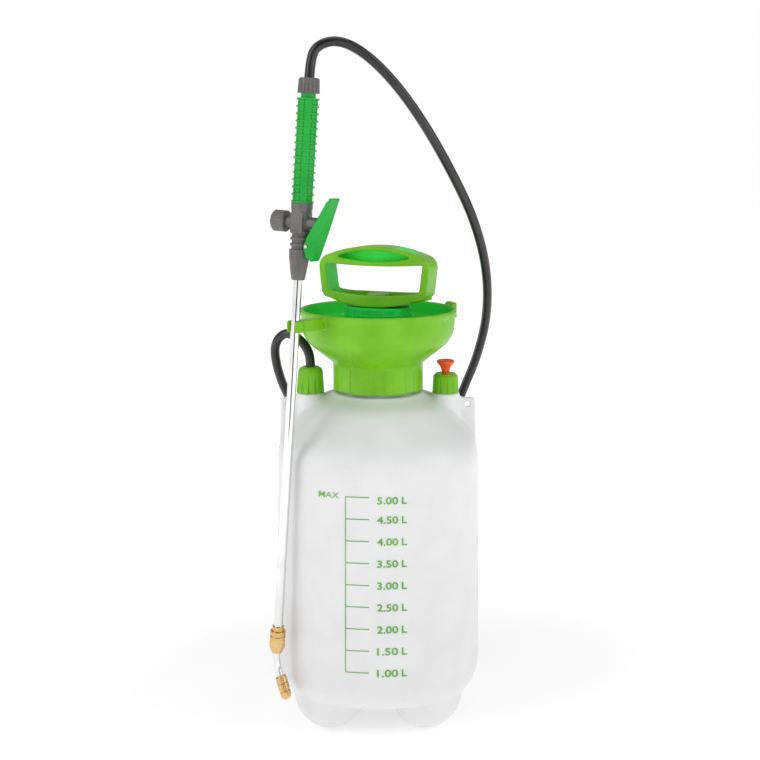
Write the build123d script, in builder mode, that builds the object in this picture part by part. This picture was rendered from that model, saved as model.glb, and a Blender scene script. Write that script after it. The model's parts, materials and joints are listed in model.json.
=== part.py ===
"""A five litre pump sprayer: a tank on feet, a hand pump in a funnel collar, a hose and a spray lance.

Millimetres, +Z up. The origin is on the tank's axis at the level that its feet stand on, -Y is the side
with the level scale, and the two ports and the two strap lugs lie in the XZ plane.
"""

import os
from math import atan2, cos, degrees, hypot, radians, sin, sqrt, tan

from build123d import *

# ---------------------------------------------------------------- driving dimensions

# tank
tank_width = 190.0  # across the flats of the rounded square section
tank_face_radius = 155.0  # of the four gently curved sides
tank_corner_radius = 70.0
tank_wall = 2.5
body_floor = 29.0  # height of the floor between the feet
body_edge_radius = 22.0  # where the side turns under into the floor
body_top = 238.0  # height where the shoulder starts
shoulder_radius = 35.5
shoulder_slope = 45.0  # degrees, of the straight stretch of the shoulder
foot_spread = 43.0  # from the axis to a foot's centre, along X and along Y
foot_radius = 34.0
foot_flat_radius = 7.5  # of the disc that each foot stands on
neck_radius = 35.8
neck_bore = 31.0
neck_base = 296.0
neck_top = 318.0
thread_height = 1.4
thread_pitch = 5.0
lug_thickness = 5.0
lug_reach = 93.5
lug_inner = 66.0
lug_top = 289.4
lug_bottom = 246.0
lug_hole_x = 85.4
lug_hole_z = 282.6
lug_hole_radius = 2.6
port_x = 64.5
port_seat = 294.0
port_boss_radius = 13.5
port_spigot_radius = 8.6
port_spigot_height = 6.5
port_bore = 5.0

# funnel collar
collar_radius = 41.6
collar_bottom = 298.5
collar_panel_height = 25.5
collar_panel_depth = 1.6
collar_panels = 8
recess_width = 13.0  # of the narrow recesses between the panels
funnel_rim_radius = 75.0
funnel_rim_top = 374.0
funnel_wall = 2.4
hub_radius = 28.0
hub_top = 344.0
gasket_thickness = 2.0

# pump
barrel_radius = 22.0
barrel_wall = 2.0
barrel_bottom = 112.0
barrel_flange = 3.0
washer_thickness = 1.5
cap_radius = 31.4
cap_top = 376.5
cap_bottom = 333.0
rod_radius = 6.0
piston_bottom = 122.0
piston_height = 16.0
seal_height = 5.8
running = 0.05  # radial clearance of what slides or turns in a bore

# handle
handle_yaw = -22.0
handle_half = 56.0
handle_bottom = 377.0
handle_crest = 434.0
handle_depth = 27.0
handle_post = 8.0
handle_corner = 12.0
bar_half_depth = 21.0  # of the boat shaped lower bar
bar_sag = 8.0  # how far the lower bar's ends rise above its middle
leaf_half = 39.0
handle_bar = 11.0
handle_grip_height = 19.0
handle_pin_radius = 2.0

# relief valve and hose outlet
port_cap_radius = 12.6
relief_cap_height = 18.0
relief_stem_radius = 3.4
relief_knob_radius = 8.6
relief_knob_top = 324.5
hose_nut_height = 24.5
hose_radius = 4.5
hose_bore = 2.5
dip_radius = 4.0

# lance, measured along its own axis from the trigger valve
lance_tilt = 3.25  # degrees from upright, its top towards +X
lance_origin = (-68.1, -76.0, 459.6)
trigger_turn = -27.0  # degrees from +X to the way that the trigger faces, in plan
tube_radius = 4.0
tube_bore = 3.0
tube_bottom = -362.0
grip_bottom = 17.5
grip_top = 110.0
grip_radius = 8.9
grip_rib = 1.2
grip_ribs = 15
strip_turn = -56.0  # degrees from the trigger's side round to the smooth strip
lance_nut_top = 128.0
valve_radius = 9.6
valve_bottom = -24.0
collar_nut_bottom = -51.0
union_length = 23.0
bend_angle = 25.0
bend_radius = 40.0
bend_tube_radius = 2.9
nozzle_length = 21.0
nozzle_radius = 4.9
clip_height = 10.5
clip_middle = 367.2
clip_play = 0.6
plunger_radius = 2.5
plunger_tip = 21.8
trigger_pivot = (10.6, -20.5)
trigger_lean = 20.6  # degrees between the lever and the lance
trigger_length = 57.0

# ---------------------------------------------------------------- shared frames and helpers


def beside(frame, along=0.0):
    """The plane in which an outline of (radius, height) points stands beside a frame's Z axis."""
    base = frame.offset(along)
    return Plane(base.origin, x_dir=base.x_dir, z_dir=-base.y_dir)


def lathe(outline, frame=Plane.XY, mode=Mode.ADD):
    """Turns a closed outline of (radius, height) points about a frame's Z axis."""
    with BuildSketch(beside(frame)) as profile:
        with BuildLine():
            Polyline(*outline, close=True)
        make_face()
    revolve(profile.sketch, axis=Axis(frame.origin, frame.z_dir), mode=mode)


def ring(inner, outer, low, high, frame=Plane.XY, mode=Mode.ADD):
    """A plain ring, or a disc where inner is 0."""
    lathe([(inner, low), (outer, low), (outer, high), (inner, high)], frame, mode)


def flutes(frame, radius, low, high, count, width, mode=Mode.SUBTRACT):
    """Round grooves, or ribs with Mode.ADD, up the outside of a knob or nut."""
    with BuildSketch(frame.offset(low)) as rounds:
        with PolarLocations(radius, count):
            Circle(width / 2)
    extrude(rounds.sketch, amount=high - low, mode=mode)


def write(piece, name):
    """Labels a finished piece and writes its file."""
    piece.part.label = name
    export_step(piece.part, f"parts/{name}.step")


tilt = radians(lance_tilt)
lance_axis = Vector(sin(tilt), 0, cos(tilt))
facing = Vector(cos(radians(trigger_turn)), sin(radians(trigger_turn)), 0)
facing = (facing - lance_axis * facing.dot(lance_axis)).normalized()
lance = Plane(origin=lance_origin, x_dir=facing, z_dir=lance_axis)


def on_lance(out, up, side=0.0):
    """A point of the lance's frame, out towards the trigger and up along the tube."""
    return lance.from_local_coords(Vector(out, side, up))


# a frame whose Z axis runs through the trigger valve, towards the trigger
valve_cross = Plane(origin=lance_origin, x_dir=lance_axis, z_dir=facing)
# the plane of the trigger's swing, X out towards the trigger and Y up the lance
swing = Plane(origin=lance_origin, x_dir=facing, z_dir=facing.cross(lance_axis))

left_port = Plane(origin=(-port_x, 0, port_seat), z_dir=(0, 0, 1))
right_port = Plane(origin=(port_x, 0, port_seat), z_dir=(0, 0, 1))

os.makedirs("parts", exist_ok=True)

# ---------------------------------------------------------------- tank

tank_half = tank_width / 2
face_centre = tank_face_radius - tank_half
corner_gap = tank_face_radius - tank_corner_radius
corner_centre = (-2 * face_centre + sqrt(4 * face_centre**2 + 8 * (corner_gap**2 - face_centre**2))) / 4


def rounded_square(height, half, squareness=1.0, inset=0.0):
    """The tank's section: four shallow side arcs and four corner arcs, rounder as squareness falls."""
    share = squareness * half / tank_half
    side, corner = face_centre * share, corner_centre * share
    face_r = half + side
    corner_r = face_r - hypot(corner, corner + side) - inset
    face_r -= inset
    reach = face_r / hypot(corner, corner + side)
    start = Vector(-corner * reach, side - (corner + side) * reach)
    end = Vector(-start.X, start.Y)
    middle = corner + corner_r * cos(radians(45))
    with BuildSketch(Plane.XY.offset(height)) as section:
        with BuildLine():
            for quarter in range(4):
                turn = 90 * quarter
                a, b = start.rotate(Axis.Z, turn), end.rotate(Axis.Z, turn)
                c = start.rotate(Axis.Z, turn + 90)
                ThreePointArc(a, Vector(0, side - face_r).rotate(Axis.Z, turn), b)
                ThreePointArc(b, Vector(middle, -middle).rotate(Axis.Z, turn), c)
        make_face()
    return section


def shoulder_sections():
    """(half width, height, slope of the normal in degrees) up the shoulder, from the body to the neck."""
    centre = tank_half - shoulder_radius
    for step in range(4):
        angle = shoulder_slope * step / 3
        out = centre + shoulder_radius * cos(radians(angle))
        yield out, body_top + shoulder_radius * sin(radians(angle)), angle
    slope = radians(shoulder_slope)
    out, up = centre + shoulder_radius * cos(slope), body_top + shoulder_radius * sin(slope)
    run = out - neck_radius - 26.5
    yield out - run, up + run * tan(slope), shoulder_slope
    yield neck_radius + 14.0, up + run * tan(slope) + 6.2, 62.0
    yield neck_radius + 7.0, neck_base, 70.0


def tank_form(inset):
    """The tank's outside, or its inside where inset is the wall, without the neck."""
    levels = list(shoulder_sections())
    floor = rounded_square(body_floor + inset, tank_half, inset=inset)
    extrude(floor.sketch, amount=body_top - body_floor - inset)
    fillet(faces().sort_by(Axis.Z)[0].edges(), body_edge_radius - inset)
    sections = []
    for number, (half, height, angle) in enumerate(levels):
        squareness = 1.0 - 0.8 * (number / (len(levels) - 1)) ** 1.5
        drop = inset * sin(radians(angle))
        section = rounded_square(height - drop, half, squareness, inset * cos(radians(angle)))
        sections.append(section.sketch.face())
    loft(sections)
    foot_lift = sqrt(foot_radius**2 - foot_flat_radius**2)
    with Locations((0, 0, foot_lift)):
        with GridLocations(2 * foot_spread, 2 * foot_spread, 2, 2):
            Sphere(foot_radius - inset)


with BuildPart() as tank_inside:
    tank_form(tank_wall)

with BuildPart() as tank:
    tank_form(0.0)
    # the strap lugs stand in the moulding's parting plane
    with BuildSketch(Plane.XZ.offset(-lug_thickness / 2)):
        for side in (1, -1):
            with BuildLine():
                Polyline(
                    (side * lug_inner, lug_top - 12),
                    (side * lug_inner, lug_top),
                    (side * lug_reach, lug_top),
                    (side * lug_reach, lug_bottom),
                    (side * lug_inner, lug_bottom),
                    close=True,
                )
            make_face()
    extrude(amount=lug_thickness)
    lug_corners = edges().filter_by(Axis.Y).group_by(Axis.Z)[-1].sort_by(Axis.X)
    fillet([lug_corners[0], lug_corners[-1]], 4.0)
    for port in (left_port, right_port):
        ring(0, port_boss_radius, -24.0, 0, port)
        ring(0, port_boss_radius + 2.0, 0, 14.0, port, Mode.SUBTRACT)
        ring(0, port_spigot_radius, 0, port_spigot_height, port)
    ring(0, neck_radius, neck_base - 8, neck_top)
    for turn in range(3):
        low = neck_base + 6.0 + turn * thread_pitch
        peak = neck_radius + thread_height
        lathe([(neck_bore + 1, low), (neck_radius, low), (peak, low + 1.1), (neck_radius, low + 2.2),
               (neck_bore + 1, low + 2.2)])
    add(tank_inside.part, mode=Mode.SUBTRACT)
    ring(0, neck_bore, neck_base - 20, neck_top, mode=Mode.SUBTRACT)
    for port in (left_port, right_port):
        ring(0, port_bore, -30.0, port_spigot_height, port, Mode.SUBTRACT)
    with Locations((0, 0, -foot_radius)):
        Box(4 * tank_half, 4 * tank_half, 2 * foot_radius, mode=Mode.SUBTRACT)
    with Locations(Plane.XZ):
        with Locations((-lug_hole_x, lug_hole_z), (lug_hole_x, lug_hole_z)):
            Cylinder(lug_hole_radius, 4 * lug_thickness, mode=Mode.SUBTRACT)
write(tank, "tank")

with BuildPart() as neck_gasket:
    ring(neck_bore + 0.5, neck_radius - 0.5, neck_top, neck_top + gasket_thickness)
write(neck_gasket, "neck_gasket")

# ---------------------------------------------------------------- funnel collar and the lance's clip

collar_bore = neck_radius + thread_height + 0.3
deck_bottom = neck_top + gasket_thickness
deck_top = deck_bottom + 3.5
hub_bore = barrel_radius + 0.3

with BuildPart() as funnel_collar:
    rim = funnel_rim_radius
    wall = funnel_wall
    slope_foot = (collar_radius + collar_panel_depth + 0.3, collar_bottom + collar_panel_height)
    with BuildSketch(Plane.XZ):
        with BuildLine():
            outer = [(collar_radius, collar_bottom), (collar_radius, slope_foot[1] - 4.0), slope_foot]
            outer += [(rim - 12.0, collar_bottom + 41.0)]
            Polyline(*outer)
            flare = ThreePointArc(
                outer[-1],
                (rim - 5.0, collar_bottom + 49.5),
                (rim - 2.0, collar_bottom + 60.0),
            )
            Polyline(
                flare @ 1,
                (rim - 1.4, funnel_rim_top - 4.5),
                (rim, funnel_rim_top - 4.5),
                (rim, funnel_rim_top),
                (rim - 1.4 - wall, funnel_rim_top),
                (rim - 2.0 - wall, collar_bottom + 60.0),
            )
            inner = ThreePointArc(
                (rim - 2.0 - wall, collar_bottom + 60.0),
                (rim - 5.0 - wall * 0.87, collar_bottom + 49.5 + wall * 0.5),
                (rim - 12.0 - wall * 0.64, collar_bottom + 41.0 + wall * 0.77),
            )
            Polyline(
                inner @ 1,
                (collar_radius - 0.5, deck_top),
                (hub_radius, deck_top),
                (hub_radius, hub_top),
                (hub_bore, hub_top),
                (hub_bore, deck_bottom),
                (collar_bore, deck_bottom),
                (collar_bore, collar_bottom),
                (collar_radius, collar_bottom),
            )
        make_face()
    revolve(axis=Axis.Z)
    # broad grip panels round the collar
    with BuildSketch(Plane.XY.offset(collar_bottom)):
        Circle(collar_radius + collar_panel_depth)
        Circle(collar_radius - 1.0, mode=Mode.SUBTRACT)
        with PolarLocations(collar_radius, collar_panels, start_angle=-90):
            Rectangle(8.0, recess_width, mode=Mode.SUBTRACT)
    extrude(amount=collar_panel_height)
    # the clip: an arm from the rim, and two jaws that are open away from the tank
    clip_centre = on_lance(0, (clip_middle - lance_origin[2]) / cos(tilt))
    clip_reach = hypot(clip_centre.X, clip_centre.Y)
    clip_turn = degrees(atan2(clip_centre.Y, clip_centre.X))
    clip_low = clip_middle - clip_height / 2
    clip_plane = Plane.XY.rotated((0, 0, clip_turn)).offset(clip_low)
    jaw_bore = tube_radius + clip_play
    with BuildSketch(clip_plane):
        with Locations(((clip_reach + rim) / 2 - 2.0, 0)):
            Rectangle(clip_reach - rim + 2.0, 2 * jaw_bore + 1.0)
        with Locations((clip_reach, 0)):
            Circle(jaw_bore + 3.0)
            Circle(jaw_bore, mode=Mode.SUBTRACT)
        with Locations((clip_reach + jaw_bore, 0)):
            Rectangle(2 * jaw_bore, 2 * jaw_bore, mode=Mode.SUBTRACT)
    extrude(amount=clip_height)
    # a thumb tab on the other side of the rim
    tab_plane = Plane.XY.rotated((0, 0, 20)).offset(funnel_rim_top - 12.0)
    with BuildSketch(tab_plane):
        with Locations((rim + 1.2, 0)):
            Rectangle(6.0, 15.0)
    extrude(amount=15.0)
    ring(0, rim - 3.6, funnel_rim_top - 14.0, funnel_rim_top + 10.0, mode=Mode.SUBTRACT)
write(funnel_collar, "funnel_collar")

# ---------------------------------------------------------------- pump

washer_top = hub_top + washer_thickness
with BuildPart() as barrel_washer:
    ring(hub_bore, hub_radius - 0.4, hub_top, washer_top)
write(barrel_washer, "barrel_washer")

barrel_bore = barrel_radius - barrel_wall
flange_top = washer_top + barrel_flange
with BuildPart() as pump_barrel:
    lathe([
        (4.0, barrel_bottom), (barrel_radius, barrel_bottom), (barrel_radius, washer_top),
        (hub_radius, washer_top), (hub_radius, flange_top), (barrel_bore, flange_top),
        (barrel_bore, barrel_bottom + 3.0), (4.0, barrel_bottom + 3.0),
    ])
    # the crosspiece that the check valve's stem is held in, between its air holes
    ring(0, 4.5, barrel_bottom, barrel_bottom + 3.0)
    ring(0, 1.6, barrel_bottom, barrel_bottom + 3.0, mode=Mode.SUBTRACT)
    with BuildSketch(Plane.XY.offset(barrel_bottom)):
        with PolarLocations(7.0, 6):
            Circle(1.5)
    extrude(amount=3.0, mode=Mode.SUBTRACT)
write(pump_barrel, "pump_barrel")

with BuildPart() as foot_valve:
    lathe([
        (0, barrel_bottom - 3.0), (6.0, barrel_bottom - 2.2), (9.5, barrel_bottom - 0.8),
        (9.5, barrel_bottom), (1.5, barrel_bottom), (1.5, barrel_bottom + 3.0),
        (2.6, barrel_bottom + 3.0), (1.0, barrel_bottom + 6.5), (0, barrel_bottom + 6.5),
    ])
write(foot_valve, "foot_valve")

cap_bore = hub_radius + 0.6
with BuildPart() as barrel_cap:
    lathe([
        (cap_bore, cap_bottom), (cap_radius, cap_bottom), (cap_radius, cap_top - 8.0),
        (cap_radius + 1.2, cap_top - 7.6), (cap_radius + 1.2, cap_top - 6.2), (cap_radius, cap_top - 5.8),
        (cap_radius, cap_top - 0.8), (cap_radius - 0.8, cap_top),
        (rod_radius + running, cap_top), (rod_radius + running, cap_top - 10.0),
        (rod_radius + 3.0, cap_top - 10.0), (rod_radius + 3.0, cap_top - 3.5),
        (cap_bore - 3.0, cap_top - 3.5), (cap_bore - 3.0, flange_top), (cap_bore, flange_top),
    ])
    flutes(Plane.XY, cap_radius, cap_bottom + 4.0, cap_top - 0.8, 16, 1.8, Mode.ADD)
write(barrel_cap, "barrel_cap")

piston_radius = barrel_bore - 0.4
groove_radius = piston_radius - 3.6
groove_low = piston_bottom + (piston_height - seal_height) / 2 - 0.1
groove_high = groove_low + seal_height + 0.2
piston_top = piston_bottom + piston_height
with BuildPart() as piston:
    lathe([
        (0, piston_bottom), (piston_radius, piston_bottom), (piston_radius, groove_low),
        (groove_radius, groove_low), (groove_radius, groove_high), (piston_radius, groove_high),
        (piston_radius, piston_top), (rod_radius + 4.0, piston_top), (rod_radius + 4.0, piston_top + 8.0),
        (rod_radius, piston_top + 8.0), (rod_radius, piston_bottom + 4.0), (0, piston_bottom + 4.0),
    ])
write(piston, "piston")

with BuildPart() as piston_seal:
    ring(groove_radius + running, barrel_bore - running, groove_low + 0.1, groove_high - 0.1)
    chamfer(edges().filter_by(GeomType.CIRCLE).group_by(SortBy.RADIUS)[-1], 0.8)
write(piston_seal, "piston_seal")

handle_plane = Plane.XY.rotated((0, 0, handle_yaw))
handle_front = Plane(origin=(0, 0, 0), x_dir=handle_plane.x_dir, z_dir=-handle_plane.y_dir)
rod_top = handle_bottom + handle_bar - 2.5
pin_height = handle_bottom + handle_bar / 2 - 0.5
pin_half = rod_radius + 4.5
with BuildPart() as pump_rod:
    ring(0, rod_radius, piston_bottom + 4.0, rod_top)
    with BuildSketch(Plane(origin=(0, 0, pin_height), x_dir=(0, 0, 1), z_dir=handle_plane.y_dir)):
        Circle(handle_pin_radius)
    extrude(amount=2 * rod_radius, both=True, mode=Mode.SUBTRACT)
write(pump_rod, "pump_rod")

with BuildPart() as handle_pin:
    with BuildSketch(Plane(origin=(0, 0, pin_height), x_dir=(0, 0, 1), z_dir=handle_plane.y_dir)):
        Circle(handle_pin_radius)
    extrude(amount=pin_half, both=True)
write(handle_pin, "handle_pin")

gap_low = handle_bottom + handle_bar
gap_high = handle_crest - handle_grip_height
inside = handle_half - handle_post


def lens(half_length, half_depth, height, depth, mode=Mode.ADD):
    """A pointed oval in plan, upright, from a height."""
    with BuildSketch(handle_plane.offset(height)) as oval:
        with BuildLine():
            ThreePointArc((-half_length, 0), (0, half_depth), (half_length, 0))
            ThreePointArc((half_length, 0), (0, -half_depth), (-half_length, 0))
        make_face()
    extrude(oval.sketch, amount=depth, mode=mode)


with BuildPart() as lower_bar:
    # a boat shaped bar, deepest in the middle, with a trough either side of the rod's boss
    lens(handle_half - 1.0, bar_half_depth, handle_bottom, handle_bar + 6.0)
    with BuildSketch(handle_front) as hull:
        with BuildLine():
            ThreePointArc((-handle_half, handle_bottom + bar_sag), (0, handle_bottom),
                          (handle_half, handle_bottom + bar_sag))
            Line((handle_half, handle_bottom + bar_sag), (handle_half, gap_low + 3.0))
            ThreePointArc((handle_half, gap_low + 3.0), (0, gap_low), (-handle_half, gap_low + 3.0))
            Line((-handle_half, gap_low + 3.0), (-handle_half, handle_bottom + bar_sag))
        make_face()
    extrude(hull.sketch, amount=2 * handle_depth, both=True, mode=Mode.INTERSECT)

with BuildPart() as trough:
    lens(handle_half - 10.0, bar_half_depth - 3.0, handle_bottom, handle_bar + 6.0)
    with BuildSketch(handle_front) as bed:
        with BuildLine():
            ThreePointArc((-handle_half, handle_bottom + bar_sag + 3.0), (0, handle_bottom + 3.0),
                          (handle_half, handle_bottom + bar_sag + 3.0))
            Line((handle_half, handle_bottom + bar_sag + 3.0), (handle_half, handle_crest))
            Line((handle_half, handle_crest), (-handle_half, handle_crest))
            Line((-handle_half, handle_crest), (-handle_half, handle_bottom + bar_sag + 3.0))
        make_face()
    extrude(bed.sketch, amount=2 * handle_depth, both=True, mode=Mode.INTERSECT)
    ring(0, rod_radius + 5.0, handle_bottom, handle_crest, mode=Mode.SUBTRACT)

with BuildPart() as pump_handle:
    half = handle_half
    with BuildSketch(handle_front.offset(-handle_depth / 2)):
        with BuildLine():
            Polyline((-half - 1.0, handle_crest - 13.0), (-half + 3.0, gap_low + 1.0),
                     (-half + 6.0, handle_bottom + bar_sag))
            ThreePointArc((-half + 6.0, handle_bottom + bar_sag), (0, handle_bottom + 0.6),
                          (half - 6.0, handle_bottom + bar_sag))
            Polyline((half - 6.0, handle_bottom + bar_sag), (half - 3.0, gap_low + 1.0),
                     (half + 1.0, handle_crest - 13.0))
            ThreePointArc((half + 1.0, handle_crest - 13.0), (0, handle_crest),
                          (-half - 1.0, handle_crest - 13.0))
        make_face()
        fillet(vertices().group_by(Axis.Y)[-1], handle_corner)
        with BuildLine():
            Line((-inside - 1.5, gap_high + 2.0), (-inside + 2.0, gap_low + 2.6))
            ThreePointArc((-inside + 2.0, gap_low + 2.6), (0, gap_low - 0.4), (inside - 2.0, gap_low + 2.6))
            Line((inside - 2.0, gap_low + 2.6), (inside + 1.5, gap_high + 2.0))
            ThreePointArc((inside + 1.5, gap_high + 2.0), (0, gap_high), (-inside - 1.5, gap_high + 2.0))
        make_face(mode=Mode.SUBTRACT)
    extrude(amount=handle_depth)
    deep = edges().filter_by(lambda edge: abs((edge % 0.5).dot(handle_front.z_dir)) > 0.99)
    fillet(deep.filter_by(lambda edge: abs((edge @ 0.5).dot(handle_front.x_dir)) < half - 6.5), 4.0)
    add(lower_bar.part)
    # a leaf shaped recess in each face of the grip bar
    leaf_tip = (gap_high + handle_crest) / 2 - 1.0
    for side in (1, -1):
        with BuildSketch(handle_front.offset(side * handle_depth / 2)):
            with BuildLine():
                ThreePointArc((-leaf_half, leaf_tip), (0, leaf_tip + 6.6), (leaf_half, leaf_tip))
                ThreePointArc((leaf_half, leaf_tip), (0, leaf_tip - 4.4), (-leaf_half, leaf_tip))
            make_face()
        extrude(amount=-side * (handle_depth / 2 - 2.0), mode=Mode.SUBTRACT)
    add(trough.part, mode=Mode.SUBTRACT)
    ring(0, rod_radius, handle_bottom, rod_top, mode=Mode.SUBTRACT)
    with BuildSketch(Plane(origin=(0, 0, pin_height), x_dir=(0, 0, 1), z_dir=handle_plane.y_dir)):
        Circle(handle_pin_radius)
    extrude(amount=pin_half, both=True, mode=Mode.SUBTRACT)
write(pump_handle, "pump_handle")

# ---------------------------------------------------------------- relief valve, on the right port

relief_plate = relief_cap_height - 3.0  # underside of the cap's top
with BuildPart() as relief_seal:
    ring(port_bore, port_spigot_radius - 0.4, port_spigot_height, port_spigot_height + 1.0, right_port)
write(relief_seal, "relief_seal")

with BuildPart() as relief_seat:
    seat_low = port_spigot_height + 1.0
    disc_low = seat_low + 1.6
    ring(1.0, port_spigot_radius - 0.4, seat_low, disc_low, right_port)
write(relief_seat, "relief_seat")

with BuildPart() as relief_cap:
    lathe([
        (port_spigot_radius + 0.3, 0.3), (port_cap_radius, 0.3),
        (port_cap_radius - 0.8, relief_cap_height - 2.5), (port_cap_radius - 3.0, relief_cap_height),
        (relief_stem_radius + running, relief_cap_height),
        (relief_stem_radius + running, relief_plate), (port_spigot_radius + 0.3, relief_plate),
    ], right_port)
    flutes(right_port, port_cap_radius + 0.7, -0.2, relief_cap_height + 1.0, 12, 3.6)
write(relief_cap, "relief_cap")

disc_top = disc_low + 1.0
knob_top = relief_knob_top - port_seat
with BuildPart() as relief_knob:
    lathe([
        (0, knob_top - 0.8), (relief_knob_radius - 1.8, knob_top - 0.8),
        (relief_knob_radius - 1.2, knob_top),
        (relief_knob_radius, knob_top - 0.6), (relief_knob_radius, knob_top - 2.2),
        (relief_knob_radius - 3.6, knob_top - 6.4), (relief_stem_radius, relief_cap_height + 1.2),
        (relief_stem_radius, relief_plate - 1.4), (1.8, relief_plate - 1.4), (1.8, disc_top), (0, disc_top),
    ], right_port)
write(relief_knob, "relief_knob")

with BuildPart() as relief_disc:
    ring(0, relief_stem_radius + 1.8, disc_low, disc_top, right_port)
write(relief_disc, "relief_disc")

with BuildPart() as relief_spring:
    ring(relief_stem_radius + 0.5, relief_stem_radius + 1.5, disc_top + 0.05, relief_plate - 0.05, right_port)
write(relief_spring, "relief_spring")

# ---------------------------------------------------------------- hose outlet and dip tube, on the left port

barb_flange = port_spigot_height + 1.0
with BuildPart() as outlet_seal:
    ring(port_bore, port_spigot_radius - 0.4, port_spigot_height, barb_flange, left_port)
write(outlet_seal, "outlet_seal")

with BuildPart() as outlet_barb:
    lathe([
        (1.6, barb_flange), (port_spigot_radius - 0.4, barb_flange),
        (port_spigot_radius - 0.4, barb_flange + 2.0), (hose_bore, barb_flange + 2.0),
        (hose_bore, hose_nut_height), (1.6, hose_nut_height),
    ], left_port)
write(outlet_barb, "outlet_barb")

with BuildPart() as hose_nut:
    lathe([
        (port_spigot_radius + 0.3, 0.3), (port_cap_radius + 0.7, 0.3),
        (port_cap_radius - 0.9, hose_nut_height - 4.0), (port_cap_radius - 2.2, hose_nut_height - 1.6),
        (port_cap_radius - 4.8, hose_nut_height), (hose_bore, hose_nut_height),
        (hose_bore, barb_flange + 8.0), (hose_radius + 1.0, barb_flange + 2.0),
        (port_spigot_radius + 0.3, barb_flange + 2.0),
    ], left_port)
    flutes(left_port, port_cap_radius + 1.0, -0.2, hose_nut_height + 1.0, 12, 3.8)
write(hose_nut, "hose_nut")

dip_top = port_seat + port_spigot_height
with BuildPart() as dip_tube:
    with BuildLine() as dip_route:
        FilletPolyline((-port_x, 0, dip_top), (-port_x, 0, 180), (-50, -foot_spread + 6, 14), radius=160)
    with BuildSketch(Plane(origin=dip_route.wire() @ 0, z_dir=dip_route.wire() % 0)):
        Circle(dip_radius)
        Circle(dip_radius - 1.2, mode=Mode.SUBTRACT)
    sweep()
write(dip_tube, "dip_tube")

dip_end = Plane(origin=dip_route.wire() @ 1, z_dir=dip_route.wire() % 1)
with BuildPart() as dip_filter:
    ring(dip_radius, dip_radius + 2.6, -12.0, 0.0, dip_end)
    ring(0, dip_radius + 2.6, 0, 2.0, dip_end)
    flutes(dip_end, dip_radius + 3.0, -10.0, 2.0, 12, 1.4)
write(dip_filter, "dip_filter")

# ---------------------------------------------------------------- lance: grip end

neck_end = grip_top + 8.0
with BuildPart() as grip:
    core, rib = grip_radius, grip_radius + grip_rib
    pitch = (grip_top - grip_bottom - 1.6) / (grip_ribs - 1)
    outline = [(3.5, grip_bottom)]
    for number in range(grip_ribs):
        low = grip_bottom + number * pitch
        outline += [(rib, low), (rib, low + 1.6), (core, low + 1.6), (core, low + pitch)]
    outline = outline[:-2] + [(6.6, grip_top), (6.6, neck_end), (3.5, neck_end)]
    lathe(outline, lance)
    # smooth strips up the front and back of the grip
    with BuildSketch(lance.offset(grip_bottom)):
        with PolarLocations(core - 0.6, 2, start_angle=strip_turn):
            Rectangle(3.0, 5.6)
        with PolarLocations(core - 0.2, 4, start_angle=strip_turn + 28, angular_range=360):
            Rectangle(1.0, 1.2)
        with PolarLocations(core - 0.2, 4, start_angle=strip_turn - 28, angular_range=360):
            Rectangle(1.0, 1.2)
    extrude(amount=grip_top - grip_bottom)
write(grip, "grip")

with BuildPart() as grip_filter:
    ring(1.5, 3.4, grip_top - 45.0, grip_top, lance)
write(grip_filter, "grip_filter")

with BuildPart() as grip_barb:
    lathe([
        (1.6, neck_end), (6.6, neck_end), (6.6, neck_end + 2.0), (hose_bore, neck_end + 2.0),
        (hose_bore, lance_nut_top), (1.6, lance_nut_top),
    ], lance)
write(grip_barb, "grip_barb")

with BuildPart() as grip_hose_nut:
    lathe([
        (6.7, grip_top + 4.5), (9.9, grip_top + 4.5), (9.3, lance_nut_top - 1.0), (8.2, lance_nut_top),
        (hose_bore, lance_nut_top), (hose_bore, neck_end + 6.0), (hose_radius + 0.6, neck_end + 2.0),
        (6.7, neck_end + 2.0),
    ], lance)
    flutes(lance, 9.8, grip_top, lance_nut_top + 1.0, 18, 1.8)
write(grip_hose_nut, "grip_hose_nut")

# ---------------------------------------------------------------- lance: trigger valve

cross_reach = 17.0
cross_radius = 5.2
knob_near = 14.0
knob_far = 27.4
guide_bore = plunger_radius + running
with BuildPart() as valve_body:
    lathe([
        (0, valve_bottom), (7.4, valve_bottom), (7.4, -7.0), (valve_radius - 1.8, -7.0),
        (valve_radius - 1.0, 8.0), (valve_radius, 12.0), (valve_radius, grip_bottom), (0, grip_bottom),
    ], lance)
    # rings below the cross and the square ribbed block round it
    for level in (-21.0, -15.5, -10.0):
        ring(5.0, 8.9, level, level + 2.4, lance)
    with BuildSketch(lance.offset(-9.0)):
        Rectangle(12.0, 17.0)
    extrude(amount=18.0)
    ring(0, cross_radius, -knob_near, cross_reach, valve_cross)
    # ears that carry the trigger's pin
    pivot_out, pivot_up = trigger_pivot
    with BuildSketch(swing):
        with Locations((pivot_out, pivot_up)):
            Circle(3.2)
        with Locations((pivot_out / 2, pivot_up)):
            Rectangle(pivot_out, 6.4)
    extrude(amount=4.0, both=True)
    with BuildSketch(swing):
        with Locations((pivot_out, pivot_up)):
            Circle(1.5)
    extrude(amount=20.0, both=True, mode=Mode.SUBTRACT)
    # water way along the lance, and the valve chamber across it
    ring(0, 3.0, 6.5, grip_bottom, lance, Mode.SUBTRACT)
    ring(0, 4.4, -knob_near, 5.0, valve_cross, Mode.SUBTRACT)
    ring(0, guide_bore, 5.0, cross_reach, valve_cross, Mode.SUBTRACT)
    ring(0, 2.4, valve_bottom, -3.0, lance, Mode.SUBTRACT)
    ring(0, tube_radius, valve_bottom, valve_bottom + 12.0, lance, Mode.SUBTRACT)
    ring(0, 2.4, 0.0, 7.0, lance, Mode.SUBTRACT)
write(valve_body, "valve_body")

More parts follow.
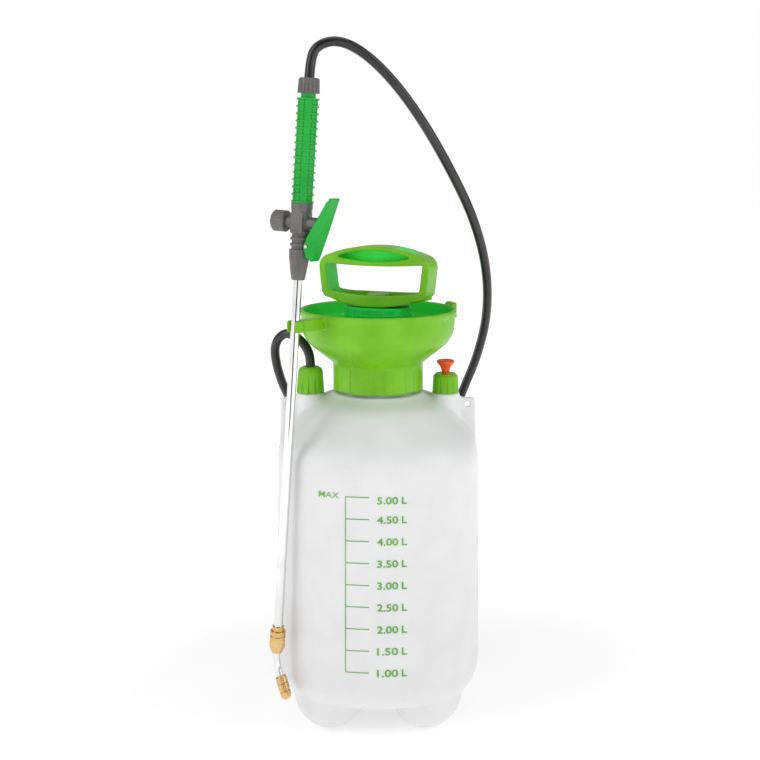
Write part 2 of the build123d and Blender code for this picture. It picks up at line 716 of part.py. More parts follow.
with BuildPart() as valve_cap:
    lathe([
        (0, -knob_far), (8.4, -knob_far), (9.6, -knob_far + 1.2), (9.6, -knob_near - 1.2), (8.4, -knob_near),
        (6.2, -knob_near), (6.2, -knob_near - 0.1), (4.2, -knob_near - 0.1), (4.2, -knob_near - 6.0),
        (0, -knob_near - 6.0),
    ], valve_cross)
    flutes(valve_cross, 9.9, -knob_far - 1.0, -knob_near + 1.0, 20, 1.5)
write(valve_cap, "valve_cap")

spring_end = -knob_near - 6.0
seal_out = 1.0
with BuildPart() as valve_plunger:
    lathe([
        (0, -4.4), (3.6, -4.4), (3.6, seal_out), (plunger_radius, seal_out),
        (plunger_radius, plunger_tip - 1.0), (plunger_radius - 1.0, plunger_tip), (0, plunger_tip),
    ], valve_cross)
write(valve_plunger, "valve_plunger")

with BuildPart() as plunger_seal:
    ring(plunger_radius, 3.8, seal_out, 4.6, valve_cross)
write(plunger_seal, "plunger_seal")

with BuildPart() as plunger_spring:
    ring(2.0, 3.0, spring_end + 0.05, -4.5, valve_cross)
write(plunger_spring, "plunger_spring")

with BuildPart() as trigger_pin:
    with BuildSketch(swing):
        with Locations(trigger_pivot):
            Circle(1.5)
    extrude(amount=8.2, both=True)
write(trigger_pin, "trigger_pin")

# the lever's own frame in the plane of its swing: X outwards, Y up along the lever
lean = radians(trigger_lean)
lever_x = facing * cos(lean) - lance_axis * sin(lean)
lever_y = facing * sin(lean) + lance_axis * cos(lean)
lever = Plane(origin=on_lance(*trigger_pivot), x_dir=lever_x, z_dir=lever_x.cross(lever_y))
lever_inner = 4.2  # from the pivot's centre to the lever's inner face
lever_wall = 2.2
lever_foot = 3.0  # how much thicker the lever is at its foot
with BuildPart() as trigger_lever:
    outer_face = lever_inner + lever_wall
    # the pressed face of the lever, wide at the foot and narrow at the tip
    with BuildSketch(lever):
        with BuildLine():
            Polyline((lever_inner, -9.0), (outer_face + lever_foot, -10.5),
                     (outer_face + lever_foot + 0.8, -8.0), (outer_face, trigger_length - 9.0),
                     (outer_face - 0.8, trigger_length - 8.0), (lever_inner, trigger_length - 9.0),
                     close=True)
        make_face()
    extrude(amount=8.0, both=True)
    # two cheeks that hold the pin and run up the lever, shallower towards its tip
    with BuildSketch(lever):
        with BuildLine():
            Polyline((-2.7, -0.5), (-2.0, -2.5), (1.5, -6.5), (3.0, -9.0), (lever_inner + 0.5, -9.0),
                     (lever_inner + 0.5, trigger_length - 12.0), (lever_inner - 1.0, trigger_length - 12.0),
                     (-2.7, 7.0), close=True)
        make_face()
    extrude(amount=8.0, both=True)
    with BuildSketch(lever):
        with BuildLine():
            Polyline((-8.0, -12.0), (lever_inner, -12.0), (lever_inner, trigger_length),
                     (-8.0, trigger_length), close=True)
        make_face()
    extrude(amount=5.6, both=True, mode=Mode.SUBTRACT)
    # seen from the front the lever narrows from foot to tip
    front = Plane(origin=lever.origin, x_dir=lever.z_dir, z_dir=lever.x_dir)
    with BuildSketch(front.offset(-12.0)):
        for side in (1, -1):
            with BuildLine():
                Polyline((side * 12.0, -20.0), (side * 12.0, 60.0), (side * 4.6, 60.0), (side * 8.2, -20.0),
                         close=True)
            make_face()
    extrude(amount=30.0, mode=Mode.SUBTRACT)
    with BuildSketch(lever):
        Circle(1.5 + running)
    extrude(amount=12.0, both=True, mode=Mode.SUBTRACT)
write(trigger_lever, "trigger_lever")

# ---------------------------------------------------------------- lance: tube and nozzle

with BuildPart() as lance_tube:
    ring(tube_bore, tube_radius, tube_bottom, valve_bottom + 12.0, lance)
write(lance_tube, "lance_tube")

with BuildPart() as collar_seal:
    ring(tube_radius, 6.4, valve_bottom - 3.0, valve_bottom, lance)
write(collar_seal, "collar_seal")

with BuildPart() as collar_nut:
    lathe([
        (6.5, valve_bottom), (9.4, valve_bottom), (9.0, valve_bottom - 8.0),
        (6.6, collar_nut_bottom + 3.0), (5.8, collar_nut_bottom), (tube_radius, collar_nut_bottom),
        (tube_radius, valve_bottom - 3.0), (6.5, valve_bottom - 3.0),
    ], lance)
    flutes(lance, 9.5, collar_nut_bottom + 7.0, valve_bottom - 2.0, 20, 1.5)
write(collar_nut, "collar_nut")

union_bottom = tube_bottom - union_length + 4.0
with BuildPart() as union_nut:
    lathe([
        (tube_radius, tube_bottom + 4.0), (5.2, tube_bottom + 4.0), (5.2, tube_bottom),
        (6.8, tube_bottom), (6.8, tube_bottom - 3.6), (6.2, tube_bottom - 3.6),
        (6.2, tube_bottom - 4.6), (6.8, tube_bottom - 4.6),
        (6.8, union_bottom + 5.0), (4.6, union_bottom), (bend_tube_radius, union_bottom),
        (bend_tube_radius, tube_bottom), (tube_radius, tube_bottom),
    ], lance)
    flutes(lance, 7.1, union_bottom + 5.0, tube_bottom - 4.6, 24, 0.8)
write(union_nut, "union_nut")

bend = radians(bend_angle)
with BuildPart() as bent_tube:
    with BuildLine() as bend_route:
        start = on_lance(0, tube_bottom)
        knee = on_lance(0, union_bottom - 9.0)
        finish = knee + facing * (18.0 * sin(bend)) - lance_axis * (18.0 * cos(bend))
        FilletPolyline(start, knee, finish, radius=bend_radius)
    with BuildSketch(Plane(origin=start, z_dir=-lance_axis)):
        Circle(bend_tube_radius)
        Circle(bend_tube_radius - 0.9, mode=Mode.SUBTRACT)
    sweep()
write(bent_tube, "bent_tube")

# the nozzle's frame looks back up the bent tube, so the spray leaves along its -Z
tip_z = lance_axis * cos(bend) - facing * sin(bend)
nozzle = Plane(origin=finish, x_dir=facing.cross(lance_axis), z_dir=tip_z)
spigot = 3.6
with BuildPart() as nozzle_body:
    lathe([
        (bend_tube_radius, 6.0), (nozzle_radius - 0.9, 6.0), (nozzle_radius, 5.0), (nozzle_radius, 0.0),
        (spigot, 0.0), (spigot, -3.0), (spigot - 0.9, -3.0), (spigot - 0.9, -5.0), (spigot, -5.0),
        (spigot, -10.5), (1.6, -10.5), (1.6, 0.0), (bend_tube_radius, 0.0),
    ], nozzle)
write(nozzle_body, "nozzle_body")

with BuildPart() as nozzle_seal:
    ring(spigot - 0.85, spigot + 0.0, -4.9, -3.1, nozzle)
write(nozzle_seal, "nozzle_seal")

with BuildPart() as swirl_core:
    ring(0, 1.55, -10.5, -2.0, nozzle)
    flutes(nozzle, 1.6, -11.0, -1.5, 2, 0.9)
write(swirl_core, "swirl_core")

with BuildPart() as nozzle_cap:
    bore = spigot + running
    tip = -(nozzle_length - 7.0)
    lathe([
        (bore, -0.6), (nozzle_radius, -0.6), (nozzle_radius, -6.0), (nozzle_radius - 0.7, -6.4),
        (nozzle_radius - 0.7, -7.2), (nozzle_radius, -7.6), (nozzle_radius - 0.3, tip + 2.5),
        (nozzle_radius - 2.4, tip), (0.6, tip), (0.6, -11.3), (bore, -11.3),
    ], nozzle)
write(nozzle_cap, "nozzle_cap")

# ---------------------------------------------------------------- hose

hose_start = Vector(-port_x, 0, port_seat + hose_nut_height)
hose_end = on_lance(0, lance_nut_top)
hose_route = [
    hose_start,
    hose_start + Vector(0, 0, 13),
    (-76, 5, 345),
    (-90, 11, 350),
    (-101, 18, 337),
    (-99.5, 27, 314),
    (-92, 42, 286),
    (-80, 68, 259),
    (-68, 93, 228),
    (-59, 108, 188),
    (-56, 114, 138),
    (-50, 115, 92),
    (-33, 115, 54),
    (0, 116, 37),
    (33, 115, 54),
    (52, 114, 92),
    (59, 113, 138),
    (65, 111, 190),
    (74, 101, 236),
    (87, 84, 278),
    (101, 64, 318),
    (109, 41, 364),
    (105, 13, 414),
    (90, -10, 462),
    (68, -30, 505),
    (43, -49, 547),
    (16, -62, 584),
    (-12, -70, 611),
    (-36, -75, 622),
    (-55, -76.5, 616),
    hose_end + lance_axis * 15.0,
    hose_end,
]
hose_points = [Vector(point) for point in hose_route]
hose_bends = []
for before, here, after in zip(hose_points, hose_points[1:], hose_points[2:]):
    into, out = here - before, after - here
    turn = radians(into.get_angle(out))
    hose_bends.append(0.45 * min(into.length, out.length) / tan(turn / 2))
with BuildPart() as hose:
    with BuildLine() as hose_line:
        FilletPolyline(*hose_points, radius=hose_bends)
    with BuildSketch(Plane(origin=hose_start, z_dir=hose_line.wire() % 0)):
        Circle(hose_radius)
        Circle(hose_bore, mode=Mode.SUBTRACT)
    sweep()
write(hose, "hose")

hose_length = hose_line.wire().length
hose_section = 3.14159265 * (hose_radius**2 - hose_bore**2)
print("hose radii", [round(r, 1) for r in hose_bends])
print("hose length", round(hose_length, 1), "volume over section times length",
      round(hose.part.volume / (hose_section * hose_length), 5))
print("lance", lance_axis, facing, "clip", clip_centre, clip_turn)
print("trigger pivot", lever.origin, "nozzle", nozzle.origin, tip_z)
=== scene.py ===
import json
from math import cos, pi, radians, sin, sqrt

import bmesh
import bpy
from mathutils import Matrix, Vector


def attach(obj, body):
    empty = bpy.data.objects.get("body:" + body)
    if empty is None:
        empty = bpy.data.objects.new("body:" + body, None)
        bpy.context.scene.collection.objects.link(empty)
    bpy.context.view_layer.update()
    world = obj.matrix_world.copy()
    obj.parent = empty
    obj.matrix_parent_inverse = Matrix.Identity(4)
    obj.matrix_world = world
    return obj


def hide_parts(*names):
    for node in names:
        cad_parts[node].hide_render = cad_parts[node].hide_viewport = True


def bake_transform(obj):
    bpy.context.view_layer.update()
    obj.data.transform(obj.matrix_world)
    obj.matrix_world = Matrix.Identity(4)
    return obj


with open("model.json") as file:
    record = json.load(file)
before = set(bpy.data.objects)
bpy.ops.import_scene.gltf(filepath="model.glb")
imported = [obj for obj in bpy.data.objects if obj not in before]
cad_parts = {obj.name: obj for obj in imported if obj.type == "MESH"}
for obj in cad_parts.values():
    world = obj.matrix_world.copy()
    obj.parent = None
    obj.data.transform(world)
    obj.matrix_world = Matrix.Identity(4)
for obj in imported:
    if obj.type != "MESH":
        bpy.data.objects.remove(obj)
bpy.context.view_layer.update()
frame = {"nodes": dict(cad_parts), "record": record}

nodes = frame["nodes"]
scene = bpy.context.scene
scene.view_settings.view_transform = "Standard"

# ---------------------------------------------------------------- camera

camera_data = bpy.data.cameras.new("camera")
camera_data.lens = 52.1
camera_data.sensor_width = 36.0
camera_data.shift_x = 0.0026
camera_data.shift_y = -0.276
camera = bpy.data.objects.new("camera", camera_data)
camera.location = (0.0, -1.0505, 0.5057)
camera.rotation_euler = (radians(90), 0.0, 0.0)
scene.collection.objects.link(camera)
scene.camera = camera

# ---------------------------------------------------------------- helpers


def link(name, mesh):
    """A new object of that mesh in the scene."""
    piece = bpy.data.objects.new(name, mesh)
    scene.collection.objects.link(piece)
    return piece


def settle(piece):
    """Applies every modifier of a piece."""
    bpy.context.view_layer.update()
    mesh = bpy.data.meshes.new_from_object(piece.evaluated_get(bpy.context.evaluated_depsgraph_get()))
    piece.modifiers.clear()
    piece.data = mesh


def shade_smooth(mesh, angle=None):
    """Smooth shading, with edges sharper than the angle kept sharp."""
    for face in mesh.polygons:
        face.use_smooth = True
    if angle is not None:
        mesh.set_sharp_from_angle(angle=radians(angle))


def remoulded(name, node, voxel, passes, weight=None):
    """A copy of a CAD node's shape with its edges rounded as a moulding's are."""
    piece = link(name, nodes[node].data.copy())
    remesh = piece.modifiers.new("remesh", "REMESH")
    remesh.mode = "VOXEL"
    remesh.voxel_size = voxel
    settle(piece)
    if weight is not None:
        group = piece.vertex_groups.new(name="soft")
        for vertex in piece.data.vertices:
            group.add([vertex.index], weight(vertex.co), "REPLACE")
        soft = piece.modifiers.new("soft", "SMOOTH")
        soft.factor = 0.5
        soft.iterations = 40
        soft.vertex_group = "soft"
    smooth = piece.modifiers.new("smooth", "SMOOTH")
    smooth.factor = 0.5
    smooth.iterations = passes
    settle(piece)
    piece.vertex_groups.clear()
    shade_smooth(piece.data)
    return piece


def tube(name, points, radius, sides):
    """A closed round tube along points, turned as little as it can be from one to the next."""
    line = bmesh.new()
    rings = []
    tangent = (points[1] - points[0]).normalized()
    across = tangent.orthogonal().normalized()
    for index, point in enumerate(points):
        before = points[max(index - 1, 0)]
        after = points[min(index + 1, len(points) - 1)]
        heading = (after - before).normalized()
        across = (tangent.rotation_difference(heading) @ across).normalized()
        tangent = heading
        beside = tangent.cross(across)
        rings.append([
            line.verts.new(point + radius * (across * cos(turn) + beside * sin(turn)))
            for turn in (2 * pi * k / sides for k in range(sides))
        ])
    for low, high in zip(rings, rings[1:]):
        for k in range(sides):
            line.faces.new((low[k], low[(k + 1) % sides], high[(k + 1) % sides], high[k]))
    line.faces.new(rings[0][::-1])
    line.faces.new(rings[-1])
    bmesh.ops.recalc_face_normals(line, faces=line.faces)
    mesh = bpy.data.meshes.new(name)
    line.to_mesh(mesh)
    line.free()
    shade_smooth(mesh, 50)
    return link(name, mesh)


# ---------------------------------------------------------------- hose

hose_start = Vector((-0.0645, 0.0, 0.3185))
lance_axis = Vector((sin(radians(3.25)), 0.0, cos(radians(3.25))))
hose_end = Vector((-0.0681, -0.076, 0.4596)) + lance_axis * 0.128
hose_route = [
    hose_start,
    hose_start + Vector((0, 0, 0.013)),
    Vector((-0.076, 0.005, 0.345)),
    Vector((-0.090, 0.011, 0.350)),
    Vector((-0.101, 0.018, 0.337)),
    Vector((-0.0995, 0.027, 0.314)),
    Vector((-0.092, 0.042, 0.286)),
    Vector((-0.080, 0.068, 0.259)),
    Vector((-0.068, 0.093, 0.228)),
    Vector((-0.059, 0.108, 0.188)),
    Vector((-0.056, 0.114, 0.138)),
    Vector((-0.050, 0.115, 0.092)),
    Vector((-0.033, 0.115, 0.054)),
    Vector((0.0, 0.116, 0.037)),
    Vector((0.033, 0.115, 0.054)),
    Vector((0.052, 0.114, 0.092)),
    Vector((0.059, 0.113, 0.138)),
    Vector((0.065, 0.111, 0.190)),
    Vector((0.074, 0.101, 0.236)),
    Vector((0.087, 0.084, 0.278)),
    Vector((0.101, 0.064, 0.318)),
    Vector((0.109, 0.041, 0.364)),
    Vector((0.105, 0.013, 0.414)),
    Vector((0.090, -0.010, 0.462)),
    Vector((0.068, -0.030, 0.505)),
    Vector((0.043, -0.049, 0.547)),
    Vector((0.016, -0.062, 0.584)),
    Vector((-0.012, -0.070, 0.611)),
    Vector((-0.036, -0.075, 0.622)),
    Vector((-0.055, -0.0765, 0.616)),
    hose_end + lance_axis * 0.015,
    hose_end,
]
hose_curve = bpy.data.curves.new("hose_line", "CURVE")
hose_curve.dimensions = "3D"
hose_spline = hose_curve.splines.new("NURBS")
hose_spline.points.add(len(hose_route) - 1)
for control, point in zip(hose_spline.points, hose_route):
    control.co = (*point, 1.0)
hose_spline.order_u = 3
hose_spline.use_endpoint_u = True
hose_spline.resolution_u = 8
hose_curve.resolution_u = 8
hose_guide = bpy.data.objects.new("hose_guide", hose_curve)
scene.collection.objects.link(hose_guide)
bpy.context.view_layer.update()
hose_mesh = bpy.data.meshes.new_from_object(hose_guide)
hose_path = [vertex.co.copy() for vertex in hose_mesh.vertices]
bpy.data.objects.remove(hose_guide)
hose_path = [a for a, b in zip(hose_path, hose_path[1:] + [None]) if b is None or (a - b).length > 1e-5]
hose = tube("hose_pipe", hose_path, 0.0045, 20)
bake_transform(hose)
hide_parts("hose")

# ---------------------------------------------------------------- materials


class Graph:
    """A material's node tree, built a node at a time."""

    def __init__(self, name):
        self.material = bpy.data.materials.new(name)
        self.material.use_nodes = True
        self.tree = self.material.node_tree
        self.shader = self.tree.nodes["Principled BSDF"]
        self.place = self.add("ShaderNodeTexCoord").outputs["Object"]

    def add(self, kind, **settings):
        node = self.tree.nodes.new(kind)
        for key, value in settings.items():
            if hasattr(node, key):
                setattr(node, key, value)
            else:
                node.inputs[key.replace("_", " ").title()].default_value = value
        return node

    def join(self, output, socket):
        self.tree.links.new(output, socket)

    def noise(self, scale, detail=3.0, stretch=None):
        """Noise of that many waves a metre, stretched along an axis if told."""
        node = self.add("ShaderNodeTexNoise", scale=scale, detail=detail)
        if stretch is None:
            self.join(self.place, node.inputs["Vector"])
        else:
            mapping = self.add("ShaderNodeMapping")
            mapping.inputs["Scale"].default_value = stretch
            self.join(self.place, mapping.inputs["Vector"])
            self.join(mapping.outputs["Vector"], node.inputs["Vector"])
        return node.outputs["Fac"]

    def spread(self, value, low, high, a=0.35, b=0.65):
        """The value from a to b, as a number from low to high."""
        node = self.add("ShaderNodeMapRange")
        node.inputs["From Min"].default_value = a
        node.inputs["From Max"].default_value = b
        node.inputs["To Min"].default_value = low
        node.inputs["To Max"].default_value = high
        self.join(value, node.inputs["Value"])
        return node.outputs["Result"]

    def mix(self, factor, first, second):
        """One colour turning into another; each is a colour or an output."""
        node = self.add("ShaderNodeMix", data_type="RGBA")
        colours = node.inputs[6], node.inputs[7]
        for value, socket in zip((factor, first, second), (node.inputs["Factor"], *colours)):
            if isinstance(value, bpy.types.NodeSocket):
                self.join(value, socket)
            elif isinstance(value, float):
                socket.default_value = value
            else:
                socket.default_value = (*value, 1.0)
        return node.outputs[2]

    def edges(self, radius):
        """1 on an edge of the shape and 0 away from one."""
        bevel = self.add("ShaderNodeBevel", samples=4)
        bevel.inputs["Radius"].default_value = radius
        geometry = self.add("ShaderNodeNewGeometry")
        product = self.add("ShaderNodeVectorMath", operation="DOT_PRODUCT")
        self.join(bevel.outputs["Normal"], product.inputs[0])
        self.join(geometry.outputs["Normal"], product.inputs[1])
        return self.spread(product.outputs["Value"], 1.0, 0.0, 0.70, 0.97), bevel.outputs["Normal"]

    def bump(self, height, strength, distance, normal=None):
        node = self.add("ShaderNodeBump")
        node.inputs["Strength"].default_value = strength
        node.inputs["Distance"].default_value = distance
        self.join(height, node.inputs["Height"])
        if normal is not None:
            self.join(normal, node.inputs["Normal"])
        return node.outputs["Normal"]


def moulded(name, colour, rough=0.32, coat=0.0, shift=0.12, round_edge=0.0006, milky=0.0, worn=0.35,
            shine=0.5):
    """A moulded plastic: clouded colour, fine grain, flow marks, lighter rubbed edges."""
    g = Graph(name)
    deep = tuple(c * (1.0 - shift) for c in colour)
    light = tuple(min(1.0, c * (1.0 + shift) + 0.01) for c in colour)
    body = g.mix(g.spread(g.noise(38.0, 4.0), 0.0, 1.0), deep, light)
    specks = g.spread(g.noise(1400.0, 2.0), 0.0, 0.10, 0.55, 0.78)
    body = g.mix(specks, body, tuple(min(1.0, c * 1.25 + 0.04) for c in colour))
    edge, rounded = g.edges(round_edge)
    rubbed = g.add("ShaderNodeMath", operation="MULTIPLY")
    g.join(edge, rubbed.inputs[0])
    g.join(g.spread(g.noise(160.0, 3.0), 0.1, worn), rubbed.inputs[1])
    body = g.mix(rubbed.outputs["Value"], body, tuple(min(1.0, c * 1.3 + 0.10) for c in colour))
    g.join(body, g.shader.inputs["Base Color"])
    g.join(g.spread(g.noise(75.0, 5.0), rough - 0.05, rough + 0.09), g.shader.inputs["Roughness"])
    grain = g.bump(g.noise(2600.0, 2.0), 0.10, 0.00008, rounded)
    flow = g.bump(g.noise(24.0, 2.0, (1.0, 1.0, 0.35)), 0.12, 0.0008, grain)
    g.join(flow, g.shader.inputs["Normal"])
    g.shader.inputs["Specular IOR Level"].default_value = shine
    g.shader.inputs["Coat Weight"].default_value = coat
    g.shader.inputs["Coat Roughness"].default_value = 0.15
    if milky:
        g.shader.inputs["Subsurface Weight"].default_value = milky
        g.shader.inputs["Subsurface Radius"].default_value = (1.0, 1.0, 1.0)
        g.shader.inputs["Subsurface Scale"].default_value = 0.006
    return g.material


def metal(name, colour, dull, rough, stretch, scale=500.0, worn=0.3):
    """A drawn or turned metal, with fine tool lines along or round the piece."""
    g = Graph(name)
    body = g.mix(g.spread(g.noise(60.0, 4.0), 0.0, 1.0), colour, dull)
    edge, rounded = g.edges(0.0003)
    bright = g.mix(edge, body, tuple(min(1.0, c * 1.15 + 0.05) for c in colour))
    g.join(bright, g.shader.inputs["Base Color"])
    g.shader.inputs["Metallic"].default_value = 1.0
    lines = g.noise(scale, 2.0, stretch)
    g.join(g.spread(lines, rough, rough + worn * 0.4), g.shader.inputs["Roughness"])
    g.join(g.bump(lines, 0.06, 0.00005, rounded), g.shader.inputs["Normal"])
    return g.material


tank_white = moulded("milky_tank", (0.77, 0.77, 0.778), 0.36, shift=0.015, round_edge=0.0008, milky=0.35,
                     worn=0.1)
lime = moulded("lime_moulding", (0.165, 0.485, 0.006), 0.30, shift=0.07, worn=0.2, shine=0.28)
# painted shade: an emerald copy of the lime, put on faces that lie in shade inside the funnel and the handle
lime_painted_shade = moulded("lime_moulding_painted_shade", (0.040, 0.80, 0.075), 0.36, shift=0.07, worn=0.2, shine=0.28)
# painted shade: an emerald, the colour the lime plastic shows where it lies in shade, given to these parts
dark_green_painted_shade = moulded("dark_green_moulding_painted_shade", (0.006, 0.60, 0.070), 0.34, shift=0.08, worn=0.2, shine=0.28)
bright_green = moulded("bright_green_moulding", (0.003, 0.37, 0.032), 0.30, shift=0.07, worn=0.2, shine=0.28)
grey = moulded("grey_moulding", (0.118, 0.114, 0.110), 0.36, worn=0.5)
red = moulded("red_moulding", (1.0, 0.105, 0.022), 0.32, round_edge=0.0004, shine=0.3)
white = moulded("white_moulding", (0.72, 0.72, 0.70), 0.40, shift=0.04)
clear = moulded("clear_tube_moulding", (0.66, 0.69, 0.70), 0.25, shift=0.04, milky=0.2)
seal = moulded("seal_rubber_black", (0.022, 0.022, 0.023), 0.62, shift=0.2, worn=0.2)
hose_black = moulded("hose_rubber_black", (0.004, 0.004, 0.0045), 0.22, coat=0.2, shift=0.1, worn=0.05)
steel = metal("drawn_stainless", (0.82, 0.82, 0.81), (0.72, 0.72, 0.72), 0.06, (1.0, 1.0, 0.02), worn=0.15)
wire = metal("spring_wire", (0.62, 0.62, 0.62), (0.50, 0.50, 0.50), 0.28, (1.0, 1.0, 0.2))
brass = metal("turned_brass", (0.78, 0.53, 0.24), (0.62, 0.40, 0.16), 0.20, (0.05, 0.05, 1.0), 900.0)

finish_of = {
    "tank_plastic": tank_white,
    "lime_plastic": lime,
    "dark_green_plastic": dark_green_painted_shade,
    "green_plastic": bright_green,
    "grey_plastic": grey,
    "red_plastic": red,
    "white_plastic": white,
    "clear_plastic": clear,
    "seal_rubber": seal,
    "hose_rubber": hose_black,
    "spring_steel": wire,
    "polished_steel": steel,
    "brass": brass,
}
slot_of = {part["node"]: part["material_slot"] for part in frame["record"]["subparts"]}


def paint(piece, material):
    """Gives the whole piece one material."""
    if not piece.data.materials:
        piece.data.materials.append(material)
    for place in piece.material_slots:
        place.link = "OBJECT"
        place.material = material


for name, piece in nodes.items():
    paint(piece, finish_of[slot_of[name]])


def finished(piece, body, *replaced):
    """A new piece takes the place of CAD nodes and their finish."""
    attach(piece, body)
    if replaced:
        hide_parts(*replaced)
        piece.data.materials.clear()
        paint(piece, finish_of[slot_of[replaced[0]]])


paint(hose, hose_black)

# ---------------------------------------------------------------- tank, with blended feet

feet_top = 0.03
blend_start = 0.052
blend_height = 0.012

tank = remoulded("tank_moulding", "tank", 0.0014, 4,
                 weight=lambda co: max(0.0, min(1.0, (blend_start - co.z) / blend_height)))
# smoothing lifts the feet, so they are drawn back down to the floor
lowest = min(vertex.co.z for vertex in tank.data.vertices)
for vertex in tank.data.vertices:
    if vertex.co.z < feet_top:
        vertex.co.z -= lowest * (feet_top - vertex.co.z) / (feet_top - lowest)
finished(tank, "tank", "tank")

# ---------------------------------------------------------------- level scale printed on the front

print_ink = moulded("green_print", (0.11, 0.40, 0.03), 0.45, shift=0.1, round_edge=0.0002, worn=0.1)
front_radius = 0.155
front_middle = front_radius - 0.095
levels = [0.2213, 0.2021, 0.1830, 0.1639, 0.1448, 0.1258, 0.1067, 0.0877, 0.0688]
line_half = 0.0004  # half the thickness of a printed line
upright = -0.0287, -0.0279  # the sides of the scale's upright line
tick_end = -0.0078
ink = bmesh.new()


def dab(x0, x1, z0, z1):
    """A printed bar, cut into short lengths so that it follows the tank's front."""
    count = max(1, round((x1 - x0) / 0.002))
    for step in range(count):
        a, b = x0 + (x1 - x0) * step / count, x0 + (x1 - x0) * (step + 1) / count
        corners = [ink.verts.new((x, 0.0, z)) for x, z in ((a, z0), (b, z0), (b, z1), (a, z1))]
        ink.faces.new(corners)


dab(*upright, levels[-1] - line_half, levels[0] + line_half)
for level in levels:
    dab(upright[1], tick_end, level - line_half, level + line_half)


def letter(words, x, z, size, width, weight=0.022):
    """Words of the print, centred on the height z and fitted to a width."""
    curve = bpy.data.curves.new("words", "FONT")
    curve.body = words
    curve.size = size
    curve.offset = size * weight
    curve.resolution_u = 3
    holder = link("words", curve)
    bpy.context.view_layer.update()
    mesh = bpy.data.meshes.new_from_object(holder.evaluated_get(bpy.context.evaluated_depsgraph_get()))
    bpy.data.objects.remove(holder)
    xs = [vertex.co.x for vertex in mesh.vertices]
    ys = [vertex.co.y for vertex in mesh.vertices]
    stretch = width / (max(xs) - min(xs))
    for vertex in mesh.vertices:
        vertex.co = ((vertex.co.x - min(xs)) * stretch + x, 0.0, vertex.co.y - (min(ys) + max(ys)) / 2 + z)
    ink.from_mesh(mesh)
    bpy.data.meshes.remove(mesh)


for number, level in enumerate(levels):
    low = level - (0.0028 if number == 0 else 0.0004)  # the top figure stands lower, against its line
    letter(f"{5.0 - 0.5 * number:.2f}", -0.0009, low, 0.0088, 0.0185)
    letter("L", 0.0207, low, 0.0088, 0.0045)
letter("MAX", -0.0520, levels[0] + 0.0008, 0.0070, 0.0178, 0.004)
bmesh.ops.triangulate(ink, faces=ink.faces)
for vertex in ink.verts:
    vertex.co.y = front_middle - sqrt(front_radius**2 - vertex.co.x**2) - 0.00016
bmesh.ops.recalc_face_normals(ink, faces=ink.faces)
for face in ink.faces:
    if face.normal.y > 0:
        face.normal_flip()
ink_mesh = bpy.data.meshes.new("level_scale")
ink.to_mesh(ink_mesh)
ink.free()
level_scale = link("level_scale", ink_mesh)
finished(level_scale, "tank")
paint(level_scale, print_ink)

# ---------------------------------------------------------------- rounded mouldings

funnel = remoulded("funnel_moulding", "funnel_collar", 0.0009, 2)
finished(funnel, "tank", "funnel_collar")
handle = remoulded("handle_moulding", "pump_handle", 0.0008, 3)
finished(handle, "pump_rod", "pump_handle")
trigger = remoulded("trigger_moulding", "trigger_lever", 0.0004, 2)
finished(trigger, "trigger", "trigger_lever")


def shade_where(piece, material, test):
    """A second material, a painted shade, on the faces that pass a test of (centre, normal)."""
    piece.data.materials.append(material)
    piece.material_slots[1].link = "OBJECT"
    piece.material_slots[1].material = material
    for face in piece.data.polygons:
        if test(face.center, face.normal):
            face.material_index = 1


def in_bowl(centre, normal):
    """Faces of the funnel that look inwards or up, below its rim, which get the painted shade."""
    out = Vector((centre.x, centre.y, 0.0))
    reach = out.length
    inside = centre.z < 0.3726 and 0.0235 < reach < (0.0735 if centre.z > 0.330 else 0.0405)
    return inside and normal.dot(out.normalized() * 0.7 - Vector((0, 0, 0.35))) < -0.12


handle_turn = radians(-22.0)
handle_along = Vector((cos(handle_turn), sin(handle_turn), 0.0))
handle_deep = Vector((-sin(handle_turn), cos(handle_turn), 0.0))


def in_handle(centre, normal):
    """Faces of the handle's openings, recesses and trough, away from its outline, which get the painted
    shade.
    """
    along = abs(centre.dot(handle_along))
    deep = abs(centre.dot(handle_deep))
    recess = deep < 0.0115 and 0.4165 < centre.z < 0.4325 and along < 0.040
    facing_in = abs(normal.dot(handle_along)) > 0.5
    posts = 0.3885 < centre.z < 0.4165 and facing_in and along < 0.0525 and deep < 0.0125
    trough = 0.377 < centre.z < 0.3865 and normal.z > 0.3 and deep < 0.0165
    return recess or posts or trough


# painted shade: the emerald copy of the lime on the funnel's bowl and on the handle's openings, recesses and
# trough
shade_where(funnel, lime_painted_shade, in_bowl)
shade_where(handle, lime_painted_shade, in_handle)

# ---------------------------------------------------------------- floor and light



def sheet(name, *corners):
    """A flat piece with one face."""
    mesh = bpy.data.meshes.new(name)
    mesh.from_pydata(corners, [], [range(len(corners))])
    return link(name, mesh)


floor_half = 12.0
floor = sheet("floor", (-floor_half, -floor_half, 0), (floor_half, -floor_half, 0),
              (floor_half, floor_half, 0), (-floor_half, floor_half, 0))
g = Graph("pale_floor_painted_glow")
g.join(g.mix(g.spread(g.noise(3.0, 2.0), 0.0, 1.0), (0.90, 0.90, 0.90), (0.93, 0.93, 0.93)),
       g.shader.inputs["Base Color"])
g.shader.inputs["Roughness"].default_value = 0.7
g.shader.inputs["Specular IOR Level"].default_value = 0.2
# painted light: the floor glows though it is no lamp, weakly near the object so its shadows still show and
# more strongly far off, where it turns white
g.shader.inputs["Emission Color"].default_value = (1.0, 1.0, 1.0, 1.0)
far = g.add("ShaderNodeVectorMath", operation="LENGTH")
g.join(g.place, far.inputs[0])
g.join(g.spread(far.outputs["Value"], 0.31, 0.62, 0.22, 0.80), g.shader.inputs["Emission Strength"])
paint(floor, g.material)

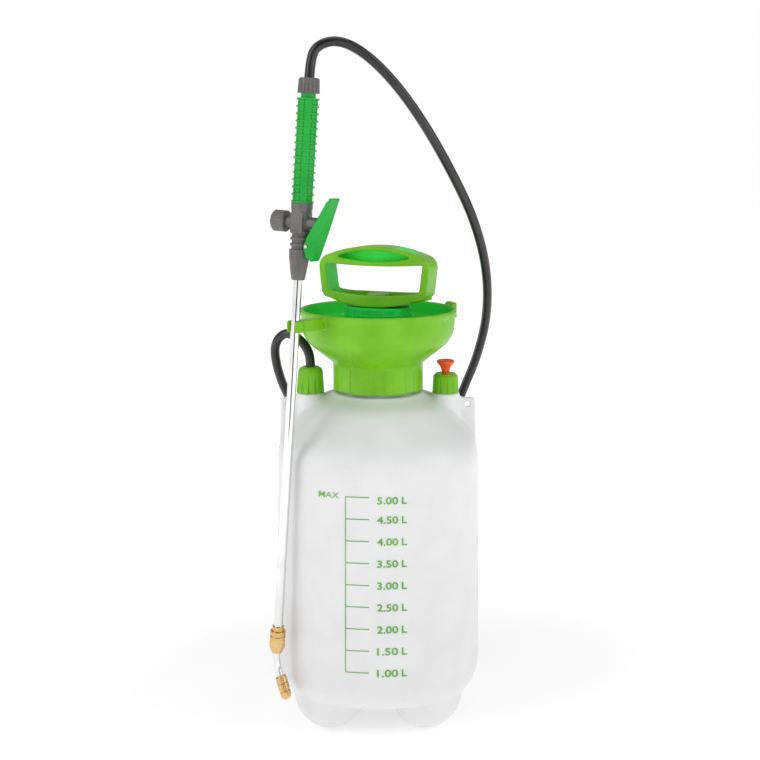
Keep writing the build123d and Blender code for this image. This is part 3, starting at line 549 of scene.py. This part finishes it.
world = bpy.data.worlds.new("studio")
scene.world = world
world.use_nodes = True
sky = world.node_tree
lit = sky.nodes["Background"]
lit.inputs["Color"].default_value = (1.0, 1.0, 1.0, 1.0)
lit.inputs["Strength"].default_value = 0.48
seen = sky.nodes.new("ShaderNodeBackground")
seen.inputs["Color"].default_value = (1.0, 1.0, 1.0, 1.0)
seen.inputs["Strength"].default_value = 1.0
ray = sky.nodes.new("ShaderNodeLightPath")
choose = sky.nodes.new("ShaderNodeMixShader")
sky.links.new(ray.outputs["Is Camera Ray"], choose.inputs[0])
sky.links.new(lit.outputs["Background"], choose.inputs[1])
sky.links.new(seen.outputs["Background"], choose.inputs[2])
sky.links.new(choose.outputs["Shader"], sky.nodes["World Output"].inputs["Surface"])


def softbox(name, place, aim, width, height, power):
    """An area light that looks at a point."""
    lamp = bpy.data.lights.new(name, "AREA")
    lamp.shape = "RECTANGLE"
    lamp.size = width
    lamp.size_y = height
    lamp.energy = power
    holder = bpy.data.objects.new(name, lamp)
    holder.location = place
    holder.rotation_euler = (Vector(aim) - Vector(place)).to_track_quat("-Z", "Y").to_euler()
    scene.collection.objects.link(holder)


softbox("key", (-1.7, -1.0, 1.3), (0, 0, 0.3), 1.0, 1.8, 12.0)
softbox("fill", (0.2, -2.4, 0.7), (0, 0, 0.3), 1.4, 1.0, 6.5)
softbox("top", (0.0, 0.1, 2.4), (0, 0, 0.2), 1.4, 1.4, 6.0)
softbox("rim", (1.7, -0.6, 1.1), (0, 0, 0.3), 1.0, 1.8, 9.0)

# a black flag beside the camera, which only reflections see, draws the dark line in the polished tube
flag_y = -1.12
flag_left, flag_right = -0.34, 0.20
flag_foot, flag_top = 0.02, 1.6
flag = sheet("flag", (flag_left, flag_y, flag_foot), (flag_right, flag_y, flag_foot),
             (flag_right, flag_y, flag_top), (flag_left, flag_y, flag_top))
g = Graph("black_flag")
g.join(g.mix(g.spread(g.noise(9.0), 0.0, 1.0), (0.006, 0.006, 0.006), (0.012, 0.012, 0.012)),
       g.shader.inputs["Base Color"])
g.shader.inputs["Roughness"].default_value = 0.9
paint(flag, g.material)
flag.visible_camera = False
flag.visible_diffuse = False
flag.visible_shadow = False
flag.visible_transmission = False
